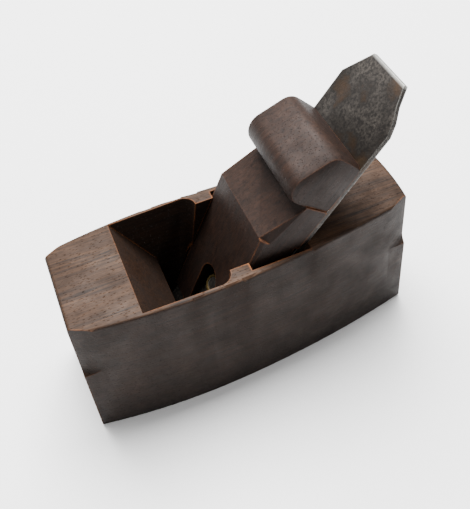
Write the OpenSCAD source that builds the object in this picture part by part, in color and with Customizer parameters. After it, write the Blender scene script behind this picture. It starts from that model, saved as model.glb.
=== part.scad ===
// Coffin-shaped wooden smoothing plane with a wedged double iron.
// Toe towards +X, sole on z = 0, origin in the middle of the sole, millimetres.
// "Up the bed" is s, measured from where the bed meets the sole; h is the height off the bed.

/* [Stock] */
// Length of the body along its middle
stock_length = 161; // [150:0.5:175]
// Greatest width of the body
stock_width = 58.6; // [57:0.2:64]
// Height of the body
stock_height = 73; // [68:0.5:80]
// Width of the toe end
toe_width = 47.5; // [44:0.5:52]
// Width across the two heel corners
heel_width = 37; // [34:0.5:44]
// Distance of the widest place from the toe
widest_back = 57.6; // [50:0.2:66]
// Radius of the heel's crown in plan
heel_crown_r = 130; // [90:1:200]
// Rounding of the top rim along the sides
side_rim_r = 1.4; // [0.6:0.1:1.6]
// Rounding of the top rim at the toe
toe_rim_r = 1.6; // [0.6:0.1:3]
// Rounding of the top rim at the heel
heel_rim_r = 2.6; // [0.6:0.1:4]
// Rounding of the lower edge all round
sole_rim_r = 0.8; // [0.4:0.1:1.5]

/* [Corner chamfers] */
// Height of the chamfers' stops above the sole
chamfer_stop_z = 46; // [38:0.5:52]
// Depth of the toe chamfers taken off the end
toe_chamfer_end = 3; // [1.5:0.1:4]
// Depth of the toe chamfers taken off the side
toe_chamfer_side = 6; // [3:0.1:8]
// Depth of the heel chamfers taken off the end
heel_chamfer_end = 2.6; // [1.5:0.1:4]
// Depth of the heel chamfers taken off the side
heel_chamfer_side = 5.5; // [3:0.1:7]
// Radius of the gouge cut that ends each chamfer
chamfer_gouge_r = 5; // [4:0.1:8]

/* [Bed and throat] */
// Pitch of the bed from the sole, in degrees
bed_pitch = 50; // [47:0.5:52]
// Distance from the toe back to the foot of the bed
bed_foot_back = 45.6; // [43:0.2:48]
// Half width of the mortise at the top, behind the abutments
mortise_half_top = 25.7; // [25.2:0.1:26.4]
// Half width of the throat at the top, in front of the abutments
throat_half_top = 27.7; // [26.8:0.1:27.9]
// Half width of the mouth
mouth_half = 23; // [22.8:0.1:24]
// Angle at which the throat's cheeks close towards the toe, in degrees
cheek_toe_in = 1.5; // [0.5:0.1:2.5]
// Distance from the toe back to the throat's front edge on top
throat_front_back = 30.3; // [28:0.1:34]
// Height of the breast's lower edge
breast_foot_z = 41.4; // [36:0.2:46]
// Run of the breast from its upper to its lower edge
breast_run = 17.9; // [14:0.1:20]
// Opening of the mouth in front of the cutting edge
mouth_gap = 1.6; // [0.8:0.1:3]

/* [Abutments] */
// Distance from the toe back to the abutments' rear corners on top
abutment_rear_back = 79.2; // [77:0.1:81]
// Distance from the centre line to the abutments' inner faces
abutment_half = 21.3; // [21:0.1:21.8]
// Length of the abutments' tops along the plane
abutment_top = 8.7; // [7:0.1:10]
// Lean of the abutments' front faces, in degrees
abutment_front_lean = 8.9; // [6:0.1:11]
// Radius of the cove at the abutments' front
abutment_cove_r = 6; // [4.5:0.1:6.4]

/* [Cutting iron] */
// Width of the irons
iron_width = 44.45; // [43.5:0.05:44.8]
// Length of the cutting iron
iron_length = 177; // [165:0.5:185]
// Thickness at the cutting edge
iron_edge_t = 3.6; // [3:0.1:4]
// Thickness at the top
iron_top_t = 2.2; // [1.8:0.1:2.8]
// Angle of the ground bevel, in degrees
iron_bevel = 30; // [25:1:32]
// Height of the cutting edge above the sole
edge_rise = 0.1; // [0.05:0.05:0.3]
// Half width of the top end
iron_top_half = 12.4; // [10:0.1:15]
// Length of the straight clip on the far side
far_clip_length = 15.5; // [12:0.1:18]
// Length of the worn round on the near side
near_clip_length = 19.5; // [16:0.1:22]
// Width of the slot
slot_width = 11.5; // [10.5:0.1:13]
// Distance from the cutting edge to the foot of the slot
slot_foot = 40; // [36:0.5:42]
// Distance from the cutting edge to the middle of the slot's hole
slot_hole_at = 98; // [90:0.5:100]
// Diameter of the hole at the top of the slot
slot_hole_d = 16.4; // [15.6:0.1:17]

/* [Cap iron] */
// Thickness of the cap iron's plate
cap_t = 2.2; // [1.8:0.1:2.6]
// Length of the cap iron
cap_length = 87; // [80:0.5:89]
// Distance of its nose behind the cutting edge
cap_setback = 1.1; // [0.8:0.1:2.5]
// Width of the cap iron
cap_width = 44; // [42:0.1:44.4]
// Rise of the hump behind its nose
cap_hump = 1; // [0.6:0.1:1.3]
// Length of the hump
cap_hump_length = 19; // [15:0.5:21]
// Distance from the cutting edge to the boss
boss_at = 47.5; // [46:0.1:48.5]
// Diameter of the boss on the cap iron
boss_d = 9; // [8.2:0.1:9.6]
// Height of the boss above the cap iron
boss_rise = 4; // [3:0.1:5]

/* [Cap screw] */
// Diameter of the screw's shank
screw_d = 6.4; // [5.8:0.1:6.6]
// Diameter of the screw's head
screw_head_d = 15; // [13:0.1:15.4]
// Thickness of the screw's head
screw_head_t = 3.2; // [2.6:0.1:3.6]
// Width of the driver slot in the head
driver_slot_w = 1.4; // [1:0.1:2]
// Depth of the driver slot in the head
driver_slot_depth = 1.5; // [1:0.1:2]
// Radial clearance of the shank in the boss
thread_fit = 0.05; // [0.02:0.01:0.1]

/* [Wedge] */
// Width of the wedge
wedge_width = 45.6; // [44.4:0.1:46.2]
// Clearance between the wedge and the abutments
wedge_fit = 0.3; // [0.2:0.05:0.5]
// Taper of the wedge, in degrees
wedge_taper = 14.2; // [13:0.1:15]
// Where the prongs end, up the bed
wedge_tip_s = 23; // [20:0.5:28]
// Where the ridge of the front lies, up the bed
wedge_ridge_s = 90.5; // [88:0.1:93]
// Where the neck under the head lies, up the bed
wedge_neck_s = 111.5; // [109:0.1:113]
// Height of the neck off the bed
wedge_neck_h = 15; // [13:0.1:18]
// Height of the head off the bed
wedge_head_h = 28.3; // [26:0.1:30]
// Length of the head from the neck to its end
wedge_head_length = 27.5; // [25:0.1:30]
// Radius of the head's brow
head_brow_r = 9; // [8:0.1:10]
// Radius of the head's struck end
head_end_r = 7; // [5:0.1:8]
// Width of the worn rounding on the head's near end
near_round = 3.3; // [2:0.1:4]
// Width of the worn rounding on the head's far end
far_round = 1.2; // [0.8:0.1:2]
// Width on the front of the worn near arris, at the ridge
arris_front = 2.8; // [1:0.1:4]
// Width on the side of the worn near arris, at the ridge
arris_side = 4.8; // [2:0.1:6]
// Width of the cut between the prongs
prong_gap = 15; // [12:0.2:17]
// Where the arch between the prongs ends, up the bed
prong_arch_s = 54; // [53:0.2:60]
// Gap above the cap iron's end under the wedge
relief_room = 6; // [5:0.5:10]

/* [Hidden] */
$fn = 96;
big = 200;
over = 1;
head_room = 1;
groove_room = 1.2;
boss_press = 0.02;
head_seat = 0.1;
screw_short = 0.5;
// Seating gap that keeps faces that touch from cutting into each other
seat_gap = 0.01;
// Corners of the iron's worn round, as shares of its length and width
near_bend_upper = [0.42, 0.36];
near_bend_lower = [0.72, 0.78];
// Crown of the cap iron's hump: share of the hump's length, and half its flat
hump_crown_share = 0.42;
hump_crown_half = 2;
// Nose of the cap iron: thickness at the tip, and run and share of the plate behind it
cap_nose_t = 0.2;
cap_nose_run = 1;
cap_nose_share = 0.55;
// How much smaller the lower part of the wedge's worn arris is, on the front and on the side
low_arris_share = [0.45, 0.4];

// Plan of the coffin shape
toe_x = stock_length / 2;
heel_x = -stock_length / 2;
widest_x = toe_x - widest_back;
toe_step = (stock_width - toe_width) / 2;
heel_run = stock_length - widest_back;
heel_step = (stock_width - heel_width) / 2;
function arc_radius(run, step) = (run * run + step * step) / (2 * step);
toe_arc_r = arc_radius(widest_back, toe_step);
heel_arc_r = arc_radius(heel_run, heel_step);
heel_corner_x = heel_x + heel_crown_r - sqrt(heel_crown_r * heel_crown_r - heel_width * heel_width / 4);

// Side view of the bed, breast and wear
bed_foot_x = toe_x - bed_foot_back;
bed_length = stock_height / sin(bed_pitch);
throat_x = toe_x - throat_front_back;
breast_foot_x = throat_x - breast_run;
iron_front_x = bed_foot_x + iron_edge_t / sin(bed_pitch);
mouth_front_x = iron_front_x + mouth_gap;
function bed_x(z) = bed_foot_x - z / tan(bed_pitch);
// Along the line of the wear or the breast, carried on past its ends
function along_x(x0, z0, x1, z1, z) = x0 + (z - z0) * (x1 - x0) / (z1 - z0);

// The wedge's front follows the abutments' rear faces at one clearance
abutment_pitch = bed_pitch + wedge_taper;
abutment_rear_x = toe_x - abutment_rear_back;
function abutment_rear(z) = abutment_rear_x + (stock_height - z) / tan(abutment_pitch);
function abutment_front(z) = abutment_rear_x + abutment_top + (stock_height - z) * tan(abutment_front_lean);

// Irons and wedge in bed coordinates
edge_s = (edge_rise - iron_edge_t * cos(bed_pitch)) / sin(bed_pitch);
iron_top_s = edge_s + iron_length;
iron_taper = atan((iron_edge_t - iron_top_t) / iron_length);
function face_h(s) = iron_edge_t - (s - edge_s) * tan(iron_taper);
iron_half = iron_width / 2;
boss_s = edge_s + boss_at;
cap_nose_s = edge_s + cap_setback;
cap_end_s = cap_nose_s + cap_length;
groove_depth = screw_head_t + head_room;
groove_width = screw_head_d + 2 * groove_room;
function on_bed_s(x, z) = (bed_foot_x - x) * cos(bed_pitch) + z * sin(bed_pitch);
function on_bed_h(x, z) = (x - bed_foot_x) * sin(bed_pitch) + z * cos(bed_pitch);
seat_s = on_bed_s(abutment_rear_x, stock_height);
seat_h = on_bed_h(abutment_rear_x, stock_height) - wedge_fit / cos(wedge_taper);
function wedge_h(s) = seat_h + (s - seat_s) * tan(wedge_taper);
wedge_end_s = wedge_neck_s + wedge_head_length;
relief_s = cap_end_s + relief_room;
head_foot_back = 1.6;
brow_s = wedge_neck_s + head_brow_r;
brow_h = wedge_head_h - head_brow_r;
end_s = wedge_end_s - head_end_r;
end_h = wedge_neck_h;

// Places its children, drawn with x up the bed and z off the bed, on the bed
module on_bed() {
    translate([bed_foot_x, 0, 0]) rotate([0, bed_pitch, 0]) mirror([1, 0, 0]) children();
}

// Extrudes a side view across the plane, centred
module across(width) {
    rotate([90, 0, 0]) linear_extrude(height = width, center = true) children();
}

// What a quarter round of radius r takes off a corner
module round_waste(r) {
    difference() {
        square(r + over);
        circle(r, $fn = 48);
    }
}

// Side view from x = 0 to x = reach with its outer corners rounded above and below
module rimmed_profile(reach, r) {
    difference() {
        square([reach, stock_height]);
        translate([reach - r, stock_height - r]) round_waste(r);
        translate([reach - sole_rim_r, sole_rim_r]) mirror([0, 1]) round_waste(sole_rim_r);
    }
}

module rimmed_disc(radius, r) {
    rotate_extrude($fn = 720) rimmed_profile(radius, r);
}

// Both side arcs of one half of the body, meeting at the widest place
module side_arcs(radius) {
    intersection_for (side = [-1, 1])
        translate([widest_x, side * (stock_width / 2 - radius), 0]) rimmed_disc(radius, side_rim_r);
}

module toe_half() {
    intersection() {
        side_arcs(toe_arc_r);
        translate([widest_x, 0, 0]) across(big) rimmed_profile(widest_back, toe_rim_r);
    }
}

module heel_half() {
    intersection() {
        side_arcs(heel_arc_r);
        translate([heel_x + heel_crown_r, 0, 0]) rimmed_disc(heel_crown_r, heel_rim_r);
        translate([heel_x - over, -big / 2, 0]) cube([widest_x - heel_x + over, big, stock_height]);
    }
}

// Waste of a stopped chamfer on a corner at the origin, whose end looks along +x and side along +y
module corner_chamfer(end_cut, side_cut) {
    turn = atan2(side_cut, end_cut);
    depth = end_cut * side_cut / sqrt(end_cut * end_cut + side_cut * side_cut);
    rise = stock_height - chamfer_stop_z + over;
    rotate([0, 0, turn]) translate([-depth, 0, chamfer_stop_z]) {
        translate([0, -big / 8, 0]) cube([big / 8, big / 4, rise]);
        translate([chamfer_gouge_r, 0, 0]) rotate([90, 0, 0])
            cylinder(r = chamfer_gouge_r, h = big / 4, center = true);
    }
}

module corner_chamfers() {
    for (side = [0, 1]) mirror([0, side, 0]) {
        translate([toe_x, toe_width / 2, 0]) corner_chamfer(toe_chamfer_end, toe_chamfer_side);
        translate([heel_corner_x, heel_width / 2, 0]) mirror([1, 0, 0])
            corner_chamfer(heel_chamfer_end, heel_chamfer_side);
    }
}

// How far a cheek leans from the vertical to reach the mouth's half width at the sole
function cheek_lean(half_top, toe_in) =
    atan((half_top - (mouth_front_x - abutment_rear_x) * tan(toe_in) - mouth_half) / stock_height);

// What of its children lies between two cheeks that lean in to the mouth and close towards the toe
module between_cheeks(half_top, toe_in) {
    lean = cheek_lean(half_top, toe_in);
    intersection() {
        children();
        intersection_for (side = [0, 1]) mirror([0, side, 0])
            translate([abutment_rear_x, half_top, stock_height]) rotate([-lean, 0, -toe_in])
                translate([-big / 2, -big, -big / 2]) cube([big, big, big]);
    }
}

// The whole opening from the bed to the breast, at full width
module throat_profile() {
    top = stock_height + over;
    across(big) polygon([
        [bed_x(-over), -over],
        [bed_x(top), top],
        [along_x(breast_foot_x, breast_foot_z, throat_x, stock_height, top), top],
        [breast_foot_x, breast_foot_z],
        [along_x(breast_foot_x, breast_foot_z, mouth_front_x, 0, -over), -over]]);
}

// The part of the opening in front of the abutments' coves
module front_profile() {
    top = stock_height + over;
    across(big) polygon([
        [abutment_front(-over) + abutment_cove_r, -over],
        [abutment_front(top) + abutment_cove_r, top],
        [big, top],
        [big, -over]]);
}

// The part of the opening behind the abutments' rear faces
module rear_profile() {
    top = stock_height + over;
    across(big) polygon([
        [-big, -over],
        [-big, top],
        [abutment_rear(top), top],
        [abutment_rear(-over), -over]]);
}

// Coves that join the abutments' fronts to the cheeks
module abutment_coves() {
    cove_x = abutment_front(stock_height) + abutment_cove_r;
    cheek_y = throat_half_top - (cove_x - abutment_rear_x) * tan(cheek_toe_in);
    lean_in = atan(tan(cheek_lean(throat_half_top, cheek_toe_in)) + tan(abutment_front_lean) * tan(cheek_toe_in));
    for (side = [0, 1]) mirror([0, side, 0])
        translate([cove_x, cheek_y - abutment_cove_r, stock_height])
            rotate([-lean_in, -abutment_front_lean, 0])
                cylinder(r = abutment_cove_r, h = big, center = true);
}

// The opening cut through the stock, with the abutments left standing
module throat_void() {
    intersection() {
        throat_profile();
        union() {
            between_cheeks(abutment_half, 0) cube(big, center = true);
            between_cheeks(mortise_half_top, 0) rear_profile();
            between_cheeks(throat_half_top, cheek_toe_in) front_profile();
            abutment_coves();
        }
    }
}

// Groove down the bed for the screw's head, open at the top
module screw_groove() {
    on_bed() translate([boss_s, 0, -groove_depth]) {
        cylinder(d = groove_width, h = groove_depth + over);
        translate([0, -groove_width / 2, 0]) cube([bed_length, groove_width, groove_depth + over]);
    }
}

module stock() {
    color("#5a4636") difference() {
        union() {
            toe_half();
            heel_half();
        }
        corner_chamfers();
        throat_void();
        screw_groove();
    }
}

// Point on the worn near corner of the iron, at a share of its length and of its width
function near_corner(share) =
    [iron_top_s - near_clip_length * share[0], iron_top_half + (iron_half - iron_top_half) * share[1]];

// Plan of the cutting iron, x up the bed and y across
module iron_plan() {
    difference() {
        polygon([
            [edge_s, -iron_half],
            [iron_top_s - far_clip_length, -iron_half],
            [iron_top_s, -iron_top_half],
            near_corner([0, 0]),
            near_corner(near_bend_upper),
            near_corner(near_bend_lower),
            near_corner([1, 1]),
            [edge_s, iron_half]]);
        translate([edge_s + slot_foot + slot_width / 2, 0]) circle(d = slot_width);
        translate([edge_s + slot_foot + slot_width / 2, -slot_width / 2])
            square([slot_hole_at - slot_foot - slot_width / 2, slot_width]);
        translate([edge_s + slot_hole_at, 0]) circle(d = slot_hole_d);
    }
}

module cutting_iron() {
    color("#4d4e50") on_bed() intersection() {
        linear_extrude(height = 4 * iron_edge_t, center = true) iron_plan();
        across(big) polygon([
            [edge_s, iron_edge_t],
            [edge_s + (iron_edge_t - seat_gap) / tan(iron_bevel), seat_gap],
            [iron_top_s, seat_gap],
            [iron_top_s, iron_top_t]]);
    }
}

// Places its children on the cutting iron's front face, x up the face from the cutting edge
module on_face() {
    on_bed() translate([edge_s, 0, iron_edge_t]) rotate([0, iron_taper, 0]) children();
}

// Side view of the cap iron: its nose bears on the blade, a hump rises behind it
module cap_profile() {
    hump_mid = cap_setback + cap_hump_length * hump_crown_share;
    flat_from = cap_setback + cap_hump_length;
    polygon([
        [cap_setback, 0],
        [hump_mid, cap_hump],
        [flat_from, 0],
        [cap_setback + cap_length, 0],
        [cap_setback + cap_length, cap_t],
        [flat_from, cap_t],
        [hump_mid + hump_crown_half, cap_t + cap_hump],
        [hump_mid - hump_crown_half, cap_t + cap_hump],
        [cap_setback + cap_nose_run, cap_t * cap_nose_share],
        [cap_setback, cap_nose_t]]);
}

module cap_iron() {
    color("#55524e") on_face() difference() {
        across(cap_width) cap_profile();
        translate([boss_at, 0, -over]) cylinder(d = boss_d - 2 * boss_press, h = cap_t + 2 * over);
    }
}

module cap_boss() {
    color("#9a8350") on_face() translate([boss_at, 0, 0]) difference() {
        cylinder(d = boss_d, h = cap_t + boss_rise);
        translate([0, 0, -over]) cylinder(d = screw_d + 2 * thread_fit, h = cap_t + boss_rise + 2 * over);
    }
}

module cap_screw() {
    seat = face_h(boss_s) + head_seat;
    color("#6a6258") on_face() translate([boss_at, 0, -seat]) {
        difference() {
            translate([0, 0, -screw_head_t]) cylinder(d = screw_head_d, h = screw_head_t);
            translate([-driver_slot_w / 2, -screw_head_d, -screw_head_t - over])
                cube([driver_slot_w, 2 * screw_head_d, driver_slot_depth + over]);
        }
        cylinder(d = screw_d, h = seat + cap_t + boss_rise - screw_short);
    }
}

// Slice of the wedge's head at y, drawn in by inset at the brow and the struck end
module head_slice(y, inset) {
    slice = 0.02;
    translate([0, y, 0]) across(slice) {
        translate([brow_s, brow_h]) circle(head_brow_r - inset, $fn = 32);
        translate([end_s, end_h]) circle(head_end_r - inset, $fn = 32);
        polygon([
            [wedge_neck_s + inset, face_h(wedge_neck_s + inset)],
            [wedge_end_s - head_foot_back - inset, face_h(wedge_end_s - head_foot_back - inset)],
            [end_s, end_h],
            [wedge_neck_s + inset, brow_h]]);
    }
}

// The struck head, its two ends worn round
module wedge_head() {
    half = wedge_width / 2 - 0.01;
    hull() {
        for (end = [[1, near_round], [-1, far_round]], step = [0, 1, 2]) {
            turn = step * 45;
            head_slice(end[0] * (half - end[1] * (1 - sin(turn))), end[1] * (1 - cos(turn)));
        }
    }
}

// Side view of the blade of the wedge, relieved over the cap iron
module wedge_profile() {
    on_cap = cap_t / cos(iron_taper) + seat_gap;
    polygon([
        [wedge_tip_s, face_h(wedge_tip_s) + on_cap],
        [wedge_tip_s, wedge_h(wedge_tip_s)],
        [wedge_ridge_s, wedge_h(wedge_ridge_s)],
        [wedge_neck_s, wedge_neck_h],
        [wedge_neck_s + 1, wedge_neck_h],
        [wedge_neck_s + 1, face_h(wedge_neck_s + 1)],
        [relief_s, face_h(relief_s)],
        [relief_s, face_h(relief_s) + on_cap]]);
}

// Waste of a chamfer on the near front arris that runs out to a point: from the ridge to s_end
module arris_waste(s_end, h_end, front_cut, side_cut) {
    half = wedge_width / 2;
    ridge_h = wedge_h(wedge_ridge_s);
    polyhedron(
        points = [
            [s_end, half, h_end],
            [wedge_ridge_s, half - front_cut, ridge_h],
            [wedge_ridge_s, half, ridge_h - side_cut],
            [wedge_ridge_s, half + over, ridge_h + over]],
        faces = s_end > wedge_ridge_s
            ? [[0, 1, 2], [0, 2, 3], [0, 3, 1], [1, 3, 2]]
            : [[0, 2, 1], [0, 3, 2], [0, 1, 3], [1, 2, 3]]);
}

module wedge() {
    color("#6b4a35") on_bed() difference() {
        union() {
            across(wedge_width) wedge_profile();
            wedge_head();
        }
        arris_waste(wedge_neck_s, wedge_neck_h, arris_front, arris_side);
        arris_waste(wedge_tip_s, wedge_h(wedge_tip_s),
            arris_front * low_arris_share[0], arris_side * low_arris_share[1]);
        translate([prong_arch_s - prong_gap / 2, 0, 0]) cylinder(d = prong_gap, h = big, center = true);
        translate([-big + prong_arch_s - prong_gap / 2, -prong_gap / 2, -big / 2]) cube([big, prong_gap, big]);
    }
}

stock();
wedge();
cutting_iron();
cap_iron();
cap_boss();
cap_screw();
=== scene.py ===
"""An old coffin-shaped smoothing plane: worn beech, dark pitted steel, on a pale floor."""

from math import cos, radians, sin

import bpy
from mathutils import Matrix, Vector


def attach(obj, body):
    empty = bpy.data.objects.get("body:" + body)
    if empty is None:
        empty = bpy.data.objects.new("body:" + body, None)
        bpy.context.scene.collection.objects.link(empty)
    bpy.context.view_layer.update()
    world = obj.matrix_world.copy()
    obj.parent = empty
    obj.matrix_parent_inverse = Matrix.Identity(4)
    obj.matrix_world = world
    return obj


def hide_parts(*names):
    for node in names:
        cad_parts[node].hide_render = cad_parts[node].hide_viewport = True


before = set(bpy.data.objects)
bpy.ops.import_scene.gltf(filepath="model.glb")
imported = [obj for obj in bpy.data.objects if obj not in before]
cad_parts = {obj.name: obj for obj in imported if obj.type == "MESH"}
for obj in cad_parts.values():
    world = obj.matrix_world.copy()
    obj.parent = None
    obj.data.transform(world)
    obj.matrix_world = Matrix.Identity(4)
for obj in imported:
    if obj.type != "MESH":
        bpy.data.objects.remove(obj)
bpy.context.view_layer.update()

bl_info = {
    "name": "Old smoothing plane",
    "version": (1, 0, 0),
    "blender": (4, 5, 0),
    "location": "View3D > Sidebar > Plane",
    "description": "Dresses a wooden smoothing plane: worn beech stock and wedge, pitted irons",
    "category": "Object",
}

MM = 0.001

# The cutting iron lies on a bed at this pitch, its struck end up and back
BED_PITCH = radians(50)
UP_THE_BED = (-cos(BED_PITCH), 0.0, sin(BED_PITCH))

# How the merged copy of a node is cleaned, rounded and shaded
MERGE_WITHIN = 0.002 * MM
FLAT_WITHIN = radians(0.4)
ARRIS_FROM = radians(28)
SMOOTH_BELOW = radians(32)
WOOD_STEPS, METAL_STEPS = 3, 2

# Sockets of a Mix node that mixes colours
FACTOR, FIRST, SECOND, MIXED = 0, 6, 7, 2


def linear(code):
    """Linear colour of an sRGB hex code."""
    channels = [int(code[i:i + 2], 16) / 255 for i in (1, 3, 5)]
    return tuple(c / 12.92 if c <= 0.04045 else ((c + 0.055) / 1.055) ** 2.4 for c in channels)


def rgba(colour):
    """A colour with full opacity."""
    return (*colour, 1.0)


def colour_property(name, description, code):
    """A colour in the panel, its default given as an sRGB hex code."""
    return bpy.props.FloatVectorProperty(
        name=name, description=description, default=linear(code), subtype="COLOR", min=0, max=1)


def length_property(name, description, millimetres):
    """A length in the panel, its default given in millimetres."""
    return bpy.props.FloatProperty(
        name=name, description=description, default=millimetres * MM, unit="LENGTH", min=0,
        precision=5)


class PlaneColours(bpy.types.PropertyGroup):
    """Colours of the wood and the metals"""

    stock_dark: colour_property("Stock, dark", "Handled and oiled beech of the sides", "#130c08")
    stock_mid: colour_property("Stock, mid", "Beech where the dirt is thinner", "#291a11")
    # Paler colour of faces that look up: rubbed grain, partly painted light from above
    stock_rubbed_and_lit_top: colour_property("Stock, top", "Rubbed grey-tan grain of the top", "#593f2b")
    stock_worn: colour_property("Stock, edges", "Orange-brown of the rubbed edges", "#7c4a26")
    # Blue-black that darkens the wood towards the sole, also the colour of the ray flecks
    stock_darkening: colour_property("Stock, grime", "Blue-black dirt near the sole", "#0a0808")
    wedge_dark: colour_property("Wedge, dark", "Dirty parts of the wedge", "#130c09")
    wedge_mid: colour_property("Wedge, mid", "Reddish brown of the wedge", "#281912")
    # Paler colour of the wedge's faces that look up: rubbed grain, partly painted light from above
    wedge_rubbed_and_lit_top: colour_property("Wedge, rubbed", "Paler rubbed places of the wedge", "#36261e")
    wedge_worn: colour_property("Wedge, edges", "Orange edges of the wedge", "#7a4a2a")
    steel_dark: colour_property("Steel, dark", "Oxide of the old blade", "#201d1b")
    steel_mid: colour_property("Steel, mid", "Grey of the blade between its pits", "#4b4641")
    # Bare steel, which at the struck rim is also a painted highlight
    steel_bare_and_highlight: colour_property("Steel, rubbed", "Bare steel of the struck end", "#a5a49f")
    steel_rust: colour_property("Steel, rust", "Brown rust in the pits", "#47331f")
    brass: colour_property("Brass", "Dull brass of the boss", "#8a7a4e")
    floor: colour_property("Floor", "Pale floor", "#ffffff")


class PlaneSizes(bpy.types.PropertyGroup):
    """Sizes of rounded edges, patterns and light"""

    wood_edge: length_property("Wood edge", "Rounding of the wood's sharp arrises", 0.9)
    steel_edge: length_property("Steel edge", "Rounding of the irons' arrises", 0.25)
    small_edge: length_property("Small edge", "Rounding of the screw and boss", 0.2)
    grain_length: length_property("Grain length", "Length of a streak of the grain", 38)
    grain_width: length_property("Grain width", "Width of a streak of the grain", 1.6)
    fleck_length: length_property("Fleck length", "Length of a ray fleck of beech", 2.4)
    fleck_width: length_property("Fleck width", "Width of a ray fleck of beech", 0.7)
    scratch_length: length_property("Scratch length", "Length of a scratch across the grain", 16)
    scratch_width: length_property("Scratch width", "Spacing of the scratches", 0.9)
    blotch: length_property("Blotch", "Size of the blotches that handling leaves", 14)
    pit: length_property("Pit", "Spacing of the steel's pits", 1.5)
    wood_relief: length_property("Wood relief", "Depth of the grain and flecks", 0.16)
    steel_relief: length_property("Steel relief", "Depth of the steel's pits", 0.12)
    brass_relief: length_property("Brass relief", "Depth of the brass's scratches", 0.05)
    wood_wear: length_property("Wood wear", "Reach of the rubbed edges of the wood", 1.6)
    steel_wear: length_property("Steel wear", "Reach of the rubbed edges of the steel", 0.9)
    # Depths of the struck rim's bare steel and painted highlight
    struck_bare_and_highlight: length_property("Struck, bare", "Depth of bare steel at the struck end", 0.4)
    struck_reach: length_property("Struck, reach", "Depth at which the bare steel ends", 1.6)
    # Heights between which the blotches that darken the wood towards the sole fade out
    darkening_full: length_property("Darkening, full", "Height up to which the grime is full", 2)
    darkening_top: length_property("Darkening, top", "Height at which the grime ends", 26)
    key_width: length_property("Key light", "Width of the soft key light", 900)
    fill_width: length_property("Fill light", "Width of the weak fill light", 1200)
    floor_width: length_property("Floor", "Width of the floor", 6000)


def add(tree, kind, inputs=(), **settings):
    """Adds a node with its settings, and sets or links its inputs."""
    node = tree.nodes.new(kind)
    for name, value in settings.items():
        setattr(node, name, value)
    for key, value in dict(inputs).items():
        if isinstance(value, bpy.types.NodeSocket):
            tree.links.new(value, node.inputs[key])
        else:
            node.inputs[key].default_value = value
    return node


def empty_material(name):
    """A material whose tree holds nothing yet."""
    material = bpy.data.materials.new(name)
    material.use_nodes = True
    material.node_tree.nodes.clear()
    return material, material.node_tree


def layered(tree, base, layers):
    """Lays colours over a base colour in turn, each by its own mask."""
    for mask, colour in layers:
        base = add(tree, "ShaderNodeMix", {
            FACTOR: mask, FIRST: base, SECOND: rgba(colour)}, data_type="RGBA").outputs[MIXED]
    return base


def arrises(tree, reach, flat_at, worn_at):
    """1 on the arrises, where the rounded normal leaves the flat one, and 0 on flats."""
    rounded = add(tree, "ShaderNodeBevel", {"Radius": reach}, samples=6)
    flat = add(tree, "ShaderNodeNewGeometry")
    alike = add(tree, "ShaderNodeVectorMath", {
        0: rounded.outputs[0], 1: flat.outputs["Normal"]}, operation="DOT_PRODUCT")
    return add(tree, "ShaderNodeMapRange", {
        "Value": alike.outputs["Value"], "From Min": flat_at, "From Max": worn_at}).outputs[0]


def finish_material(tree, base, roughness, height, depth, shader):
    """Bump, the shader and the output."""
    bump = add(tree, "ShaderNodeBump", {"Height": height, "Strength": 1.0, "Distance": depth})
    body = add(tree, "ShaderNodeBsdfPrincipled", {
        "Base Color": base, "Roughness": roughness, "Normal": bump.outputs[0], **shader})
    add(tree, "ShaderNodeOutputMaterial", {"Surface": body.outputs[0]})


def beech_grain(tree, along, sizes):
    """Noise drawn out along the grain."""
    drawn_out = add(tree, "ShaderNodeMapping", {
        "Vector": along,
        "Scale": (1 / sizes.grain_length, 1 / sizes.grain_width, 1 / sizes.grain_width)})
    return add(tree, "ShaderNodeTexNoise", {
        "Vector": drawn_out.outputs[0], "Scale": 1.0, "Detail": 5.0, "Roughness": 0.62,
        "Distortion": 0.9}).outputs[0]


def ray_flecks(tree, along, sizes):
    """1 in the short flecks that beech shows, 0 between them."""
    drawn_out = add(tree, "ShaderNodeMapping", {
        "Vector": along,
        "Scale": (1 / sizes.fleck_length, 1 / sizes.fleck_width, 1 / sizes.fleck_width)})
    cells = add(tree, "ShaderNodeTexVoronoi", {"Vector": drawn_out.outputs[0], "Scale": 1.0})
    return add(tree, "ShaderNodeMapRange", {
        "Value": cells.outputs["Distance"], "From Min": 0.26, "From Max": 0.12}).outputs[0]


def cross_scratches(tree, along, sizes):
    """Faint scratches across the grain."""
    crossing = add(tree, "ShaderNodeMapping", {
        "Vector": along, "Rotation": (0, 0, radians(62)),
        "Scale": (1 / sizes.scratch_length, 1 / sizes.scratch_width, 1 / sizes.scratch_length)})
    noise = add(tree, "ShaderNodeTexNoise", {
        "Vector": crossing.outputs[0], "Scale": 1.0, "Detail": 2.0, "Roughness": 0.5,
        "Distortion": 0.4})
    return add(tree, "ShaderNodeMapRange", {
        "Value": noise.outputs[0], "From Min": 0.6, "From Max": 0.72, "To Max": 0.4}).outputs[0]


def rubbed_and_lit_tops(tree, streak):
    """The grain's pale streaks, on faces that look up: partly rubbed grain, partly painted light
    from above.
    """
    normal = add(tree, "ShaderNodeNewGeometry").outputs["Normal"]
    facing = add(tree, "ShaderNodeSeparateXYZ", {0: normal})
    upward = add(tree, "ShaderNodeMapRange", {
        "Value": facing.outputs["Z"], "From Min": 0.55, "From Max": 0.95})
    rubbed = add(tree, "ShaderNodeMath", {0: upward.outputs[0], 1: streak}, operation="MULTIPLY")
    return add(tree, "ShaderNodeMath", {0: rubbed.outputs[0], 1: 0.75},
               operation="MULTIPLY").outputs[0]


def sole_darkening(tree, coords, blotches, sizes):
    """Blotches that darken the wood towards the sole."""
    height = add(tree, "ShaderNodeSeparateXYZ", {0: coords}).outputs["Z"]
    low = add(tree, "ShaderNodeMapRange", {
        "Value": height, "From Min": sizes.darkening_top, "From Max": sizes.darkening_full,
        "To Max": 0.75})
    return add(tree, "ShaderNodeMath", {0: low.outputs[0], 1: blotches},
               operation="MULTIPLY").outputs[0]


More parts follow.
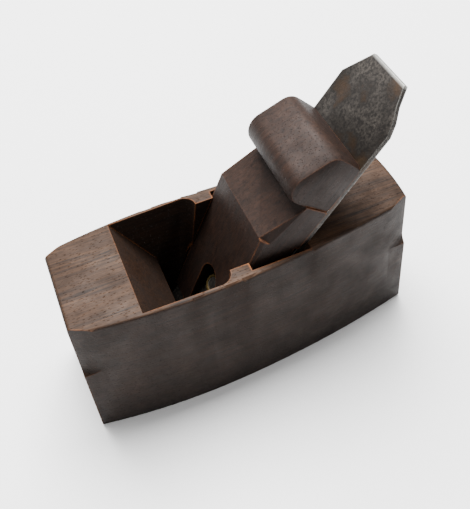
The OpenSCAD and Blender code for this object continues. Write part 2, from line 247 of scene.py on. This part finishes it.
def oiled_beech(name, dark, mid, top, worn, darkening, turn, place, sizes):
    """Planed beech, oiled and handled for generations: streaked grain, dark ray flecks,
    blotches of dirt, darkening towards the sole, paler tops that are partly painted light
    from above, and edges rubbed back to orange-brown wood."""
    material, tree = empty_material(name)
    coords = add(tree, "ShaderNodeTexCoord").outputs["Object"]
    along = add(tree, "ShaderNodeMapping", {
        "Vector": coords, "Rotation": (0, turn, 0), "Location": place}).outputs[0]
    grain = beech_grain(tree, along, sizes)
    fleck = ray_flecks(tree, along, sizes)
    streak = add(tree, "ShaderNodeMapRange", {
        "Value": grain, "From Min": 0.28, "From Max": 0.72}).outputs[0]
    blotches = add(tree, "ShaderNodeTexNoise", {
        "Vector": along, "Scale": 1 / sizes.blotch, "Detail": 5.0, "Roughness": 0.6}).outputs[0]
    handled = add(tree, "ShaderNodeMapRange", {
        "Value": blotches, "From Min": 0.36, "From Max": 0.64, "To Max": 0.45}).outputs[0]
    faint_fleck = add(tree, "ShaderNodeMath", {0: fleck, 1: 0.22}, operation="MULTIPLY").outputs[0]
    broken = add(tree, "ShaderNodeMapRange", {
        "Value": blotches, "From Min": 0.38, "From Max": 0.6, "To Min": 0.1, "To Max": 0.8})
    rubbed_edge = add(tree, "ShaderNodeMath", {
        0: arrises(tree, sizes.wood_wear, flat_at=0.97, worn_at=0.8), 1: broken.outputs[0]},
        operation="MULTIPLY")
    base = layered(tree, rgba(dark), (
        (streak, mid),
        # Faces that look up are paler: rubbed grain, partly painted light from above
        (rubbed_and_lit_tops(tree, streak), top),
        (handled, dark),
        # Blotches that darken the wood towards the sole
        (sole_darkening(tree, coords, blotches, sizes), darkening),
        (faint_fleck, darkening),
        (rubbed_edge.outputs[0], worn),
        (cross_scratches(tree, along, sizes), dark)))
    rough = add(tree, "ShaderNodeMapRange", {
        "Value": blotches, "From Min": 0.3, "From Max": 0.7, "To Min": 0.5, "To Max": 0.72})
    relief = add(tree, "ShaderNodeMath", {0: grain, 1: fleck}, operation="SUBTRACT")
    finish_material(tree, base, rough.outputs[0], relief.outputs[0], sizes.wood_relief,
                    {"IOR": 1.5, "Specular IOR Level": 0.16})
    return material


def bare_steel_and_highlight(tree, coords, struck_end, sizes):
    """Where the steel is bare: on its arrises and at its struck end, struck_end up the bed; the
    pale struck rim is also a painted highlight.
    """
    reach = add(tree, "ShaderNodeVectorMath", {0: coords, 1: UP_THE_BED}, operation="DOT_PRODUCT")
    # The struck rim: bare steel and a painted highlight
    struck = add(tree, "ShaderNodeMapRange", {
        "Value": reach.outputs["Value"], "From Min": struck_end - sizes.struck_reach,
        "From Max": struck_end - sizes.struck_bare_and_highlight})
    bare = add(tree, "ShaderNodeMath", {
        0: struck.outputs[0], 1: arrises(tree, sizes.steel_wear, flat_at=0.985, worn_at=0.85)},
        operation="MAXIMUM")
    return add(tree, "ShaderNodeMath", {0: bare.outputs[0], 1: 0.7},
               operation="MULTIPLY").outputs[0]


def forged_steel(name, looks, sizes, struck_end):
    """Forged blade steel: dark oxide, fine pits, brown rust, bare where rubbed or struck, with a
    painted highlight on the struck rim.
    """
    material, tree = empty_material(name)
    coords = add(tree, "ShaderNodeTexCoord").outputs["Object"]
    pits = add(tree, "ShaderNodeTexNoise", {
        "Vector": coords, "Scale": 1 / sizes.pit, "Detail": 6.0, "Roughness": 0.7}).outputs[0]
    pit = add(tree, "ShaderNodeMapRange", {"Value": pits, "From Min": 0.42, "From Max": 0.6})
    clouds = add(tree, "ShaderNodeTexNoise", {
        "Vector": coords, "Scale": 1 / sizes.blotch, "Detail": 4.0, "Roughness": 0.55}).outputs[0]
    cloud = add(tree, "ShaderNodeMapRange", {"Value": clouds, "From Min": 0.35, "From Max": 0.65})
    clean = add(tree, "ShaderNodeMath", {0: pit.outputs[0], 1: cloud.outputs[0]},
                operation="MULTIPLY")
    rust = add(tree, "ShaderNodeMapRange", {
        "Value": clouds, "From Min": 0.45, "From Max": 0.3, "To Max": 0.5})
    base = layered(tree, rgba(looks.steel_dark), (
        (clean.outputs[0], looks.steel_mid),
        (rust.outputs[0], looks.steel_rust),
        (bare_steel_and_highlight(tree, coords, struck_end, sizes), looks.steel_bare_and_highlight)))
    rough = add(tree, "ShaderNodeMapRange", {
        "Value": pits, "From Min": 0.3, "From Max": 0.7, "To Min": 0.62, "To Max": 0.42})
    finish_material(tree, base, rough.outputs[0], pits, sizes.steel_relief, {"Metallic": 0.75})
    return material


def dull_brass(name, looks, sizes):
    """Turned brass, dulled to brown: fine scratches and a soft sheen."""
    material, tree = empty_material(name)
    coords = add(tree, "ShaderNodeTexCoord").outputs["Object"]
    stains = add(tree, "ShaderNodeTexNoise", {
        "Vector": coords, "Scale": 1 / (2 * sizes.pit), "Detail": 4.0, "Roughness": 0.6}).outputs[0]
    stain = add(tree, "ShaderNodeMapRange", {"Value": stains, "From Min": 0.4, "From Max": 0.65})
    base = layered(tree, rgba(looks.brass), ((stain.outputs[0], looks.steel_rust),))
    rough = add(tree, "ShaderNodeMapRange", {
        "Value": stains, "From Min": 0.3, "From Max": 0.7, "To Min": 0.35, "To Max": 0.6})
    finish_material(tree, base, rough.outputs[0], stains, sizes.brass_relief, {"Metallic": 1.0})
    return material


def dressed(node, name, body, edge, steps, material):
    """A merged copy of a node with its arrises rounded, which stands for it."""
    bpy.ops.object.select_all(action="DESELECT")
    piece = bpy.data.objects.new(name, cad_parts[node].data.copy())
    bpy.context.scene.collection.objects.link(piece)
    piece.select_set(True)
    bpy.context.view_layer.objects.active = piece
    bpy.ops.object.mode_set(mode="EDIT")
    bpy.ops.mesh.select_all(action="SELECT")
    bpy.ops.mesh.remove_doubles(threshold=MERGE_WITHIN)
    bpy.ops.mesh.dissolve_limited(angle_limit=FLAT_WITHIN)
    bpy.ops.object.mode_set(mode="OBJECT")
    bpy.ops.object.modifier_add(type="BEVEL")
    bevel = piece.modifiers[-1]
    bevel.width = edge
    bevel.segments = steps
    bevel.limit_method = "ANGLE"
    bevel.angle_limit = ARRIS_FROM
    bevel.miter_outer = "MITER_ARC"
    bpy.ops.object.modifier_apply(modifier=bevel.name)
    bpy.ops.object.shade_smooth_by_angle(angle=SMOOTH_BELOW)
    piece.data.materials.clear()
    piece.data.materials.append(material)
    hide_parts(node)
    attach(piece, body)
    return piece


class PLANE_OT_camera(bpy.types.Operator):
    """Place the camera where the photograph was taken from"""

    bl_idname = "plane.camera"
    bl_label = "Camera"

    def execute(self, context):
        eye = (67.8 * MM, 223.2 * MM, 336.3 * MM)
        turn = (radians(45.63), radians(2.83), radians(156.26))
        photo_width, photo_height = 470, 509
        focal_px, centre_x, centre_y = 788.4, 265.9, 167.3
        sensor = 36
        bpy.ops.object.select_all(action="DESELECT")
        bpy.ops.object.camera_add(location=eye, rotation=turn)
        camera = context.object
        camera.name = "camera"
        camera.data.sensor_fit = "HORIZONTAL"
        camera.data.sensor_width = sensor
        camera.data.lens = focal_px * sensor / photo_width
        camera.data.shift_x = (photo_width / 2 - centre_x) / photo_width
        camera.data.shift_y = (centre_y - photo_height / 2) / photo_width
        camera.data.clip_start = 10 * MM
        context.scene.camera = camera
        return {"FINISHED"}


class PLANE_OT_stage(bpy.types.Operator):
    """Lay the pale floor and set the soft studio light"""

    bl_idname = "plane.stage"
    bl_label = "Stage"

    def execute(self, context):
        looks, sizes = context.scene.plane_colours, context.scene.plane_sizes
        bpy.ops.object.select_all(action="DESELECT")
        bpy.ops.mesh.primitive_plane_add(size=sizes.floor_width, location=(0, 0, 0))
        floor = context.object
        floor.name = "floor"
        material, tree = empty_material("pale_floor")
        matt = add(tree, "ShaderNodeBsdfPrincipled", {
            "Base Color": rgba(looks.floor), "Roughness": 0.8})
        add(tree, "ShaderNodeOutputMaterial", {"Surface": matt.outputs[0]})
        floor.data.materials.append(material)
        # Name, place in metres, turn, width and watts of each light
        lights = (
            ("key", (-0.1, -0.45, 1.2), (radians(20), radians(-5), 0), sizes.key_width, 78),
            ("fill", (-0.5, 0.9, 0.8), (radians(-48), radians(-20), 0), sizes.fill_width, 2),
        )
        for name, place, turn, width, watts in lights:
            bpy.ops.object.light_add(type="AREA", location=place, rotation=turn)
            lamp = context.object
            lamp.name = name
            lamp.data.size = width
            lamp.data.energy = watts
        world = bpy.data.worlds.new("studio")
        world.use_nodes = True
        world.node_tree.nodes.clear()
        sky = add(world.node_tree, "ShaderNodeBackground", {
            "Color": (1, 1, 1, 1), "Strength": 0.5})
        add(world.node_tree, "ShaderNodeOutputWorld", {"Surface": sky.outputs[0]})
        context.scene.world = world
        return {"FINISHED"}


class PLANE_OT_stock(bpy.types.Operator):
    """Make the beech stock with its rubbed edges"""

    bl_idname = "plane.stock"
    bl_label = "Stock"

    def execute(self, context):
        looks, sizes = context.scene.plane_colours, context.scene.plane_sizes
        beech = oiled_beech(
            "old_oiled_beech", looks.stock_dark, looks.stock_mid, looks.stock_rubbed_and_lit_top,
            looks.stock_worn, looks.stock_darkening, 0.0, (0.0, 0.0, 0.0), sizes)
        dressed("stock", "beech_stock", "stock", sizes.wood_edge, WOOD_STEPS, beech)
        return {"FINISHED"}


class PLANE_OT_wedge(bpy.types.Operator):
    """Make the wedge with its struck head"""

    bl_idname = "plane.wedge"
    bl_label = "Wedge"

    def execute(self, context):
        looks, sizes = context.scene.plane_colours, context.scene.plane_sizes
        # Its grain runs up the bed, in another place of the pattern than the stock's
        beech = oiled_beech(
            "red_oiled_beech", looks.wedge_dark, looks.wedge_mid, looks.wedge_rubbed_and_lit_top,
            looks.wedge_worn, looks.stock_darkening, -BED_PITCH, (0.05, 0.02, 0.03), sizes)
        dressed("wedge", "beech_wedge", "wedge", sizes.wood_edge, WOOD_STEPS, beech)
        return {"FINISHED"}


class PLANE_OT_irons(bpy.types.Operator):
    """Make the cutting iron and the cap iron"""

    bl_idname = "plane.irons"
    bl_label = "Irons"

    def execute(self, context):
        looks, sizes = context.scene.plane_colours, context.scene.plane_sizes
        blade_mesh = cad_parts["cutting_iron"].data
        struck_end = max(Vector(UP_THE_BED).dot(vertex.co) for vertex in blade_mesh.vertices)
        steel = forged_steel("pitted_blade_steel", looks, sizes, struck_end)
        dressed("cutting_iron", "blade", "iron", sizes.steel_edge, METAL_STEPS,
                steel)
        dressed("cap_iron", "cap", "cap", sizes.steel_edge, METAL_STEPS, steel)
        return {"FINISHED"}


class PLANE_OT_screw(bpy.types.Operator):
    """Make the brass boss and the cap screw"""

    bl_idname = "plane.screw"
    bl_label = "Boss and screw"

    def execute(self, context):
        looks, sizes = context.scene.plane_colours, context.scene.plane_sizes
        brass = dull_brass("dull_brass", looks, sizes)
        dressed("cap_boss", "boss", "cap", sizes.small_edge, METAL_STEPS, brass)
        steel = bpy.data.materials["pitted_blade_steel"]
        dressed("cap_screw", "screw", "screw", sizes.small_edge, METAL_STEPS, steel)
        return {"FINISHED"}


class PLANE_PT_panel(bpy.types.Panel):
    """Lists the steps that dress the plane"""

    bl_idname = "PLANE_PT_panel"
    bl_label = "Smoothing plane"
    bl_space_type = "VIEW_3D"
    bl_region_type = "UI"
    bl_category = "Plane"

    def draw(self, context):
        for step in STEPS:
            self.layout.operator(step.bl_idname)
        for group in (context.scene.plane_sizes, context.scene.plane_colours):
            for name in group.__annotations__:
                self.layout.prop(group, name)


STEPS = (
    PLANE_OT_camera, PLANE_OT_stage, PLANE_OT_stock, PLANE_OT_wedge, PLANE_OT_irons,
    PLANE_OT_screw)
CLASSES = (PlaneColours, PlaneSizes, *STEPS, PLANE_PT_panel)


def register():
    for item in CLASSES:
        bpy.utils.register_class(item)
    bpy.types.Scene.plane_colours = bpy.props.PointerProperty(type=PlaneColours)
    bpy.types.Scene.plane_sizes = bpy.props.PointerProperty(type=PlaneSizes)


def unregister():
    del bpy.types.Scene.plane_sizes
    del bpy.types.Scene.plane_colours
    for item in reversed(CLASSES):
        bpy.utils.unregister_class(item)


def main():
    register()
    bpy.ops.plane.camera()
    bpy.ops.plane.stage()
    bpy.ops.plane.stock()
    bpy.ops.plane.wedge()
    bpy.ops.plane.irons()
    bpy.ops.plane.screw()


if __name__ == "__main__":
    main()
